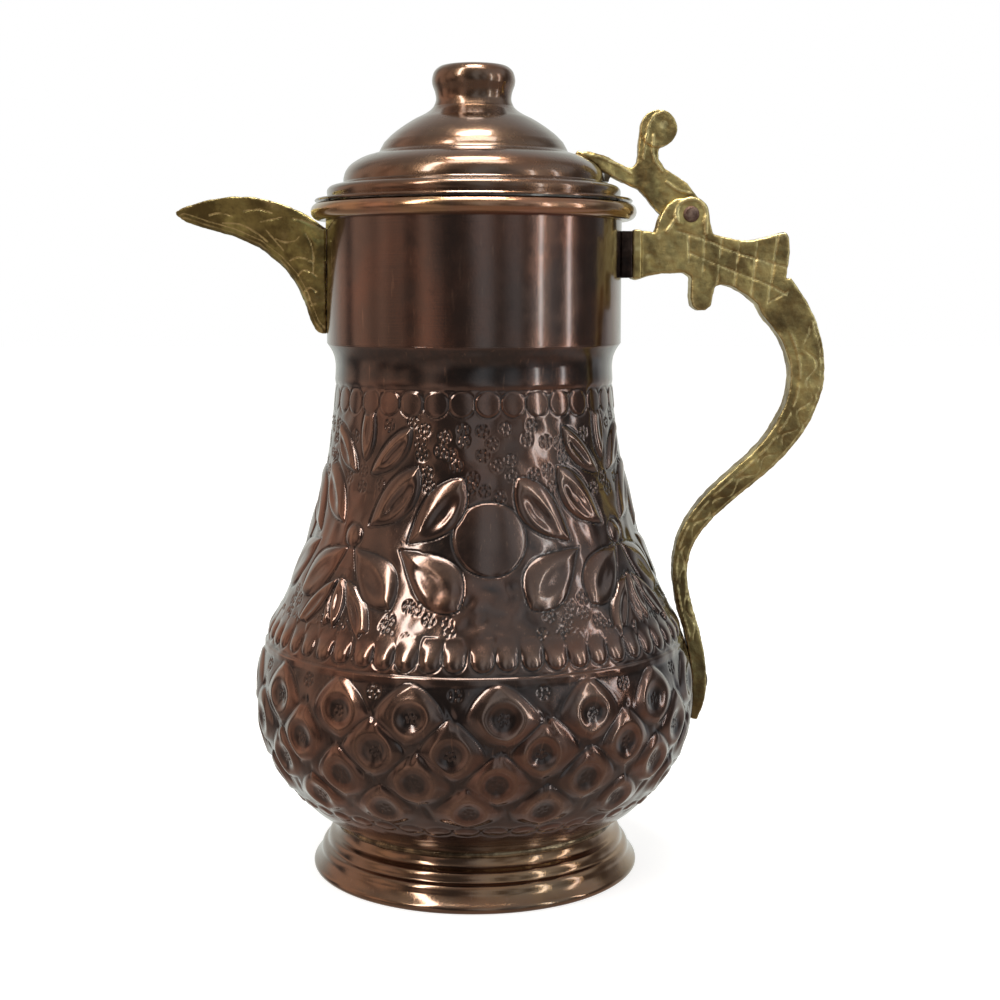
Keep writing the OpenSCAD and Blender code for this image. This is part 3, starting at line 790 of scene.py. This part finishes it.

# How bright the metal is rubbed, from 0 in the hollows to 1 on what stands out; below the step it is lowered
# as painted shade, and in the dimples it is lowered too.
stand = 0.5 + 0.42 * (relief - blur(relief, 5)) + 0.30 * (relief - blur(relief, 20))
in_band = (smoothstep(24, 29, wall[:, 1]) * smoothstep(177, 173, wall[:, 1]))[:, None]
stand = 0.5 + (stand - 0.54) * in_band
# painted shade: the flare below the step is made darker
painted_shade_under_step = smoothstep(174, 181, wall[:, 1]) * smoothstep(190, 187.5, wall[:, 1])
stand = stand - 0.36 * painted_shade_under_step[:, None] - 0.17 * dimple_darkening

CHASED_DEPTH = 1.1      # the inner face stays this much further in behind the chasing
inner = resample(bowl, 3.0)
chased_here = smoothstep(22, 30, inner[:, 1]) * smoothstep(180, 172, inner[:, 1])
inner = inner + (beside(inner, 1.0) - inner) * (SHEET + CHASED_DEPTH * chased_here)[:, None]
inner = inner[inner[:, 1] > FLOOR_Z + SHEET + 0.2][::-1]
inner = np.concatenate([
    [[NECK_R - SHEET, STEP_Z]], inner, [[30, FLOOR_Z + SHEET], [10, FLOOR_Z + SHEET]]])
outer_verts, _ = turned(wall, COLUMNS)
grid = outer_verts.reshape(len(wall), COLUMNS, 3)
slope = np.gradient(wall, axis=0)
slope /= np.hypot(*slope.T)[:, None]
normal_r, normal_z = slope[:, 1, None], -slope[:, 0, None]
radial = grid[:, :, :2] / wall[:, 0, None, None]
grid[:, :, :2] += radial * (relief * normal_r)[:, :, None]
grid[:, :, 2] += relief * normal_z
inner_verts, _ = turned(inner, COLUMNS)
body_marks = np.concatenate([stand.ravel(), np.full(len(inner_verts), 0.5)])
jug_body = make("jug_body", np.concatenate([grid.reshape(-1, 3), inner_verts]),
                grid_faces(len(wall) + len(inner), COLUMNS, True), [chased, tinned], "jug",
                ["vessel"], None, {"relief": np.clip(body_marks, 0, 1)})
paint_rows(jug_body, COLUMNS, [(len(wall), 1)])

# Floor of the bowl: a dished disc that closes the ring left above.
dish = [(0, FLOOR_Z - 0.05), (6, FLOOR_Z - 0.02), (10.4, FLOOR_Z)]
dish += [(r, z + SHEET + 2 * (FLOOR_Z - z)) for r, z in dish[::-1]]
lathe("bowl_floor", dish, 96, tinned, "jug")

# ---------------------------------------------------------------- neck, foot, lid
BEAD_X, BEAD_Z, BEAD_R = 54.15, 235.1, 3.0
BEAD_FOOT_Z = 232.9     # where the wall meets the bead
NECK_FOOT_Z = STEP_Z - 0.05
NECK_ROWS, BEAD_ROWS, INNER_ROWS, NECK_COLUMNS = 40, 34, 30, 288
neck_profile = np.concatenate([
    np.stack([np.full(NECK_ROWS, NECK_R), np.linspace(NECK_FOOT_Z, BEAD_FOOT_Z, NECK_ROWS)], 1),
    arc((BEAD_X, BEAD_Z), BEAD_R, -136, 150, BEAD_ROWS),
    [[NECK_R - 0.6, 236.6], [NECK_R - SHEET, 235.4]],
    np.stack([np.full(INNER_ROWS, NECK_R - SHEET), np.linspace(234, NECK_FOOT_Z, INNER_ROWS)], 1)])
neck_verts, _ = turned(neck_profile, NECK_COLUMNS)
push_out(neck_verts, lumps(neck_verts, 42, 31) * 0.05)
neck = make("jug_neck", neck_verts, grid_faces(len(neck_profile), NECK_COLUMNS, True),
            [spun, tinned, rim_copper_painted_highlight], "jug", ["vessel"], 40)
paint_rows(neck, NECK_COLUMNS, [(NECK_ROWS, 2), (NECK_ROWS + BEAD_ROWS, 1)])


def with_modifiers(obj):
    """A new mesh of the object with its modifiers applied."""
    return bpy.data.meshes.new_from_object(obj.evaluated_get(bpy.context.evaluated_depsgraph_get()))


def drill_strainer(target):
    """Cuts the strainer's holes through the neck behind the spout, with one boolean that is applied."""
    radius, pitch, top, drop, rows, sides = 1.5, 4.1, 223.5, 5.5, 4, 28
    verts, faces = [], []
    for row in range(rows):
        for k in range(rows - row):
            y, z = (k - (rows - 1 - row) / 2) * pitch, top - row * drop
            base = len(verts)
            for x in (-NECK_R - 2, -NECK_R + 6):
                for i in range(sides):
                    turn = TURN * i / sides
                    verts.append((x, y + radius * math.cos(turn), z + radius * math.sin(turn)))
            faces += [(base + i, base + sides + i, base + sides + (i + 1) % sides, base + (i + 1) % sides)
                      for i in range(sides)]
            faces += [tuple(base + i for i in range(sides)),
                      tuple(base + 2 * sides - 1 - i for i in range(sides))]
    mesh = bpy.data.meshes.new("drills")
    mesh.from_pydata((np.array(verts) * MM).tolist(), [], faces)
    drills = bpy.data.objects.new("drills", mesh)
    scene.collection.objects.link(drills)
    holes = target.modifiers.new("holes", "BOOLEAN")
    holes.operation = "DIFFERENCE"
    holes.solver = "EXACT"
    holes.object = drills
    drilled = with_modifiers(target)
    target.modifiers.clear()
    target.data = drilled
    target.data.set_sharp_from_angle(angle=math.radians(40))
    bpy.data.objects.remove(drills)


drill_strainer(neck)

FOOT_BEAD_R = 1.7
foot_stations = [(58.6, 2.8), (57.4, 4.2), (56.3, 6), (56, 7.4), (55.2, 8.7), (53.9, 9.6), (53.6, 11),
                 (52.8, 12.5), (50.9, 13.8), (49.9, 16), (49.8, 19.5)]
foot_outer = resample(spline(foot_stations, 8), 0.5)
foot_profile = np.concatenate([
    foot_outer[::-1][:-1], arc((57.3, FOOT_BEAD_R), FOOT_BEAD_R, 38, -190, 26),
    beside(foot_outer, SHEET)[3:]])[::-1]
lathe("foot_ring", np.concatenate([foot_profile, foot_profile[:1]]), 384, foot_copper, "jug",
      ["foot"], 50, 0.06, 41)

# Solder between foot and bowl; only what shows of it is uneven.
SEAM_COLUMNS, SEAM_BACK_R = 540, 49.6
seam_profile = np.concatenate([
    arc((50.2, 18.2), 1.5, 60, -75, 12), [[SEAM_BACK_R, 16.6], [SEAM_BACK_R, 19.2]]])
seam_verts, _ = turned(seam_profile, SEAM_COLUMNS)
swell = lumps(seam_verts, 11, 42) * 0.30 + lumps(seam_verts, 4.5, 43) * 0.05 - 0.25
shows = np.hypot(seam_verts[:, 0], seam_verts[:, 1]) > 50
push_out(seam_verts, np.where(shows, swell, 0))
make("foot_seam", seam_verts, grid_faces(len(seam_profile), SEAM_COLUMNS, True), solder, "jug",
     ["foot_solder"])

LID_SHEET = 0.8
BEZEL_BACK_R, LID_HOLE_R, LID_TOP_Z = 47.2, 8, 271.4
lid_flange = [(55.7, 238.6), (55.75, 239.0), (55.4, 239.4), (52.4, 239.9), (51.2, 240.15)]
lid_step = [(51.5, 241.2), (51.4, 242.6), (50.4, 243.7), (48.6, 244.3), (46.5, 244.7), (45.7, 245.3)]
lid_torus = [(45.7, 246.4), (45.1, 248.6), (43.7, 250.7), (41.5, 252.4), (38.6, 253.9), (35.4, 254.9),
             (33.3, 255.6), (32.7, 256.6)]
lid_dome = [(31.4, 259), (28.7, 261.7), (25.3, 264.3), (21.2, 266.9), (17.8, 268.6), (15.4, 270.1),
            (14.1, LID_TOP_Z)]
lid_outer = np.concatenate([
    np.array(lid_flange), resample(spline(lid_step, 8), 0.45), resample(spline(lid_torus, 8), 0.6),
    resample(spline(lid_dome, 8), 0.8)])
lid_inner = beside(lid_outer, LID_SHEET)[len(lid_flange):]
lid_profile = np.concatenate([
    [(BEZEL_BACK_R, 238.6)], lid_outer, [(LID_HOLE_R, LID_TOP_Z), (LID_HOLE_R, LID_TOP_Z - LID_SHEET)],
    lid_inner[::-1], [(50.2, 239.6), (BEZEL_BACK_R, 239.4), (BEZEL_BACK_R, 238.6)]])
lathe("lid_cover", lid_profile, 384, lid_copper, "lid", ["lid_shell"], 38, 0.06, 51)

knob_stations = [(14.1, LID_TOP_Z), (13.2, 273.8), (13.5, 276.4), (14.4, 279), (14.5, 281.2), (13.7, 283.6),
                 (11.8, 285.2), (9.5, 285.6)]
knob = resample(spline(knob_stations, 8), 0.4)
knob_profile = np.concatenate([[(12.9, 271.7)], knob, [(7, 285.62), (3.5, 285.5), (0, 285.4)]])
lathe("lid_finial", knob_profile, 192, lid_copper, "lid", ["lid_knob"], 50, 0.05, 52)


# ---------------------------------------------------------------- cast brass pieces
def remeshed(node, voxel, rounds):
    """A fine mesh in the shape of a CAD node, with the soft edges of a casting. Points in mm."""
    source = frame["nodes"][node]
    temp = bpy.data.objects.new("temp", source.data.copy())
    scene.collection.objects.link(temp)
    remesh = temp.modifiers.new("remesh", "REMESH")
    remesh.mode = "VOXEL"
    remesh.voxel_size = voxel * MM
    smooth = temp.modifiers.new("smooth", "SMOOTH")
    smooth.factor = 0.5
    smooth.iterations = rounds
    bpy.context.view_layer.update()
    mesh = with_modifiers(temp)
    bpy.data.objects.remove(temp)
    mesh.materials.clear()
    return mesh


def mesh_arrays(mesh):
    """The mesh's points in mm and its normals."""
    co = np.zeros(len(mesh.vertices) * 3)
    normal = np.zeros(len(mesh.vertices) * 3)
    mesh.vertices.foreach_get("co", co)
    mesh.vertices.foreach_get("normal", normal)
    return co.reshape(-1, 3) / MM, normal.reshape(-1, 3)


def to_line(x, z, points):
    """Each (x, z)'s distance from a line through points, how far along it is, and on which side, 1 or -1."""
    best = np.full(len(x), 1e9)
    along = np.zeros(len(x))
    side = np.zeros(len(x))
    start = 0.0
    for (ax, az), (bx, bz) in zip(points[:-1], points[1:]):
        dx, dz = bx - ax, bz - az
        length = math.hypot(dx, dz)
        t = np.clip(((x - ax) * dx + (z - az) * dz) / length ** 2, 0, 1)
        d = np.hypot(x - ax - t * dx, z - az - t * dz)
        near = d < best
        best = np.where(near, d, best)
        along = np.where(near, start + t * length, along)
        side = np.where(near, np.sign((x - ax) * dz - (z - az) * dx), side)
        start += length
    return best, along, side


def edge_wear(mesh, co, normal):
    """How far each point stands out of the ones around it, from -1 to 1."""
    edges = np.zeros(len(mesh.edges) * 2, np.int64)
    mesh.edges.foreach_get("vertices", edges)
    a, b = edges.reshape(-1, 2).T
    field = co.copy()
    for _ in range(5):
        total = np.zeros_like(field)
        count = np.zeros(len(field))
        np.add.at(total, a, field[b])
        np.add.at(total, b, field[a])
        np.add.at(count, a, 1)
        np.add.at(count, b, 1)
        field = 0.4 * field + 0.6 * total / np.maximum(count, 1)[:, None]
    return np.einsum("ij,ij->i", co - field, normal)


def cast(name, node, voxel, rounds, engrave, body, material=None, rough=0.11, seed=61):
    """A casting in a CAD node's shape, with engraving cut into it and unevenness from the sand."""
    mesh = remeshed(node, voxel, rounds)
    co, normal = mesh_arrays(mesh)
    cut = engrave(co, normal)
    push = cut + rough * lumps(co, 6, seed) + 0.45 * rough * lumps(co, 2.4, seed + 1)
    wear = edge_wear(mesh, co, normal)
    stands = 0.5 + 1.9 * wear + cut_colour(cut) + 0.10 * lumps(co, 9, seed + 2)
    mesh.vertices.foreach_set("co", ((co + normal * push[:, None]) * MM).ravel())
    mesh.update()
    obj = bpy.data.objects.new(name, mesh)
    scene.collection.objects.link(obj)
    finish_piece(obj, material or cast_brass, body, [node], None, {"relief": np.clip(stands, 0, 1)})
    return obj


def cut_colour(cut):
    """Cuts and raised lines both show bright metal."""
    return 0.70 * smoothstep(0.07, 0.30, np.abs(cut))


def on_flanks(normal):
    """1 on a casting's two flat sides, and 0 round its edges."""
    return smoothstep(0.45, 0.8, np.abs(normal[:, 1]))


def stroke(co, points, width, depth, seed=62):
    """A line cut by hand: smooth, and deeper in some places than in others."""
    d, _, _ = to_line(co[:, 0], co[:, 2], [tuple(p) for p in spline(points, 5)])
    return -ridge(d, width, depth * (0.9 + 0.35 * lumps(co, 5, seed)))


# Everything engraved is given as points (x, z) on the casting's flanks.
BLOCK_LONG_LINES = [
    [(70.6, 228.6), (81.7, 225), (94.6, 220), (111, 215.4)],
    [(75.5, 220.9), (81.7, 218.2), (91.5, 214.3), (102.8, 210), (110, 206.2)],
    [(103.4, 203.4), (110.6, 207.4)], [(106, 200.8), (111.6, 203.2)],
]
BLOCK_CROSS_LINES = [
    [(75, 227.4), (75.4, 217.6)], [(80.9, 227), (80.4, 214.6)], [(86.9, 226), (85.3, 210)],
    [(93, 225), (91.4, 209)], [(99.3, 225), (97.4, 205)], [(106.4, 227), (103.3, 202.6)],
]
grip_line = [
    (105, 209), (108, 203.8), (111.8, 198.6), (115.5, 191.5), (117.8, 182.5), (117.6, 174), (114.9, 164.7),
    (109.4, 155.6), (102.9, 148), (95.3, 141.3), (87, 134), (80.8, 127), (76.1, 119.3), (74.1, 111),
    (74.1, 103.8), (75.7, 95), (78.4, 86), (80.2, 77.5), (80.9, 69), (80.8, 61), (79.8, 53.2)]
grip_widths = [14, 15.4, 14.6, 13.4, 12.3, 11.5, 10.6, 9.6, 8.9, 8.5, 8, 7.2, 6.2, 5.4, 5.2, 5.4, 5.4, 5.6,
               5.8, 5, 2.2]
EAR_BORDER_R = 5.3
PETAL_STEP = 5.5        # from one petal to the next; the wave takes two of them
FILE_STEP = 3.1
PIN = [v / MM for v in frame["record"]["behaviour"]["joints"][0]["pos_m"]]


def engrave_block(co, on_side):
    """The block's hatched lines, the lumps on the arm, and the raised borders of the ears."""
    x, z = co[:, 0], co[:, 2]
    in_block = smoothstep(60, 61, x) * smoothstep(201, 204, z - 0.2 * (x - 100))
    cut = np.zeros(len(co))
    for line in BLOCK_LONG_LINES + BLOCK_CROSS_LINES:
        cut += stroke(co, line, 0.36, 0.32) * on_side * in_block
    cut += 0.14 * lumps(co, 6.5, 64) * smoothstep(74, 71, x) * smoothstep(214, 218, z) * on_side
    round_pin = np.hypot(x - PIN[0], z - PIN[2]) - EAR_BORDER_R
    cut += ridge(round_pin, 0.55, 0.42) * on_side * smoothstep(230, 232, z)
    for line in ([(70.9, 233), (67.6, 228.4)], [(81.2, 233), (81.3, 227.6)]):
        cut += ridge(to_line(x, z, line)[0], 0.55, 0.42) * on_side
    return cut


def engrave_grip(co, normal, on_side):
    """Along the grip, a raised border, a fine line, a wave with petals, and file marks on the crown."""
    d, t, side = to_line(co[:, 0], co[:, 2], [tuple(p) for p in spline(grip_line, 5)])
    lengths = np.concatenate([[0], np.cumsum(np.hypot(*np.diff(np.array(grip_line), axis=0).T))])
    width = np.interp(t / (t.max() + 1e-9) * lengths[-1], lengths, grip_widths)
    v = d * side
    in_grip = on_side * smoothstep(14, 20, t) * smoothstep(lengths[-1] - 24, lengths[-1] - 34, t)
    cut = ridge(v - 0.22 * width, 0.42, 0.30) * in_grip
    cut -= ridge(v + 0.40 * width, 0.4, 0.2) * in_grip
    worn = np.clip(0.8 + 0.5 * lumps(co, 8, 63), 0, 1)
    v_wave = v + 0.12 * width - 0.15 * width * np.sin(t * TURN / (2 * PETAL_STEP) + 0.5 * np.sin(t / 9))
    cut -= ridge(v_wave, 0.45, 0.28) * in_grip * worn
    petal_side = np.where(np.floor(t / PETAL_STEP) % 2 == 0, 1, -1)
    along_petal = (t % PETAL_STEP) - PETAL_STEP / 2 - 0.5 * v_wave
    petal = np.hypot(along_petal / 1.5, (v_wave - 0.20 * width * petal_side) / 0.9)
    cut -= ridge(petal, 0.8, 0.34) * in_grip * worn
    crown = smoothstep(0.35, -0.25, np.abs(normal[:, 1])) * smoothstep(20, 30, t)
    return cut + 0.10 * crown * np.sin(t * TURN / FILE_STEP)


def engrave_handle(co, normal):
    on_side = on_flanks(normal)
    return engrave_block(co, on_side) + engrave_grip(co, normal, on_side)


def engrave_lever(co, normal):
    """Raised lines along the thumb piece and the tongue, and a shallow dent in the thumb piece's end."""
    x, z = co[:, 0], co[:, 2]
    on_side = on_flanks(normal)
    cut = np.zeros(len(co))
    for line in ([(59.4, 253.6), (60.0, 259), (61.0, 265), (63.2, 268.6), (66, 269.6)],
                 [(62.8, 261.6), (62.4, 256), (63.6, 252.4), (66.0, 249.3)],
                 [(38, 254.9), (44, 254), (50, 251.6), (55, 248.6)],
                 [(67.5, 245.6), (71.6, 242.6), (76, 241.7)]):
        cut += ridge(to_line(x, z, line)[0], 0.45, 0.30) * on_side
    dent = np.hypot(x - 66.2, z - 265.2)
    return cut - ridge(dent, 2.2, 0.25) * on_side


def engrave_spout(co, normal):
    """A rib and a line along the beak's keel, and short strokes on its flanks."""
    x, z = co[:, 0], co[:, 2]
    outside = smoothstep(0.2, 0.5, np.sign(co[:, 1]) * normal[:, 1])
    cut = np.zeros(len(co))
    keel = [(-55.2, 193.2), (-57.2, 195.8), (-58.9, 200.3), (-60.9, 205.9), (-63.8, 211.6), (-68.7, 217.2),
            (-75.6, 222.7), (-85.4, 226.9), (-95.3, 229.7), (-101.8, 231.9)]
    d, _, _ = to_line(x, z, keel)
    cut += (ridge(d - 1.4, 0.8, 0.16) - ridge(d - 2.6, 0.4, 0.22)) * outside
    for line in ([(-88, 231.2), (-82, 230.8), (-77, 228.4), (-72.4, 224.8)], [(-72.4, 228.7), (-66.7, 221.7)],
                 [(-74, 231.6), (-70.5, 232.2), (-66.3, 233)], [(-62.5, 232.6), (-58.5, 231.6), (-55, 230)],
                 [(-69, 225.6), (-66.3, 224.6), (-62.4, 224.9), (-60.6, 226.4)],
                 [(-64.4, 218.2), (-61, 219.4), (-56.2, 217.8)],
                 [(-61.8, 213.2), (-59.1, 214.9), (-55, 212.8)],
                 [(-59.6, 207.8), (-57.4, 208.8), (-55.4, 207.4)], [(-57.6, 202.6), (-55.8, 203.2)],
                 [(-80, 235.2), (-74.6, 235.6), (-69.8, 234.4)], [(-58.4, 227.6), (-56, 222), (-56.2, 214)],
                 [(-92.6, 234), (-88.6, 234.6), (-84, 233.4)]):
        cut += stroke(co, line, 0.34, 0.30, 66) * outside
    return cut


def plain(co, normal):
    """No engraving."""
    return np.zeros(len(co))


cast("cast_handle", "handle", 0.45, 5, engrave_handle, "jug", seed=61)
cast("cast_lever", "thumb_lever", 0.36, 5, engrave_lever, "lid", seed=65)
cast("cast_spout", "spout", 0.42, 6, engrave_spout, "jug", spout_brass, seed=69)
cast("saddle", "handle_saddle", 0.4, 4, plain, "jug", saddle_painted_shade, 0.12, 73)
cast("spout_seam", "spout_solder", 0.25, 3, plain, "jug", solder, 0.05, 77)

# ---------------------------------------------------------------- small CAD pieces that stay
for node, material in {
        "rim_wire": iron, "foot_wire": iron, "upper_roves": small_copper, "lower_rivet": small_copper,
        "lower_rove": small_copper, "hinge_pin": iron, "lid_bezel": tinned, "tongue_solder": solder,
        "tongue_rivets": small_copper, "tongue_roves": small_copper}.items():
    for material_slot in frame["nodes"][node].material_slots:
        material_slot.material = material
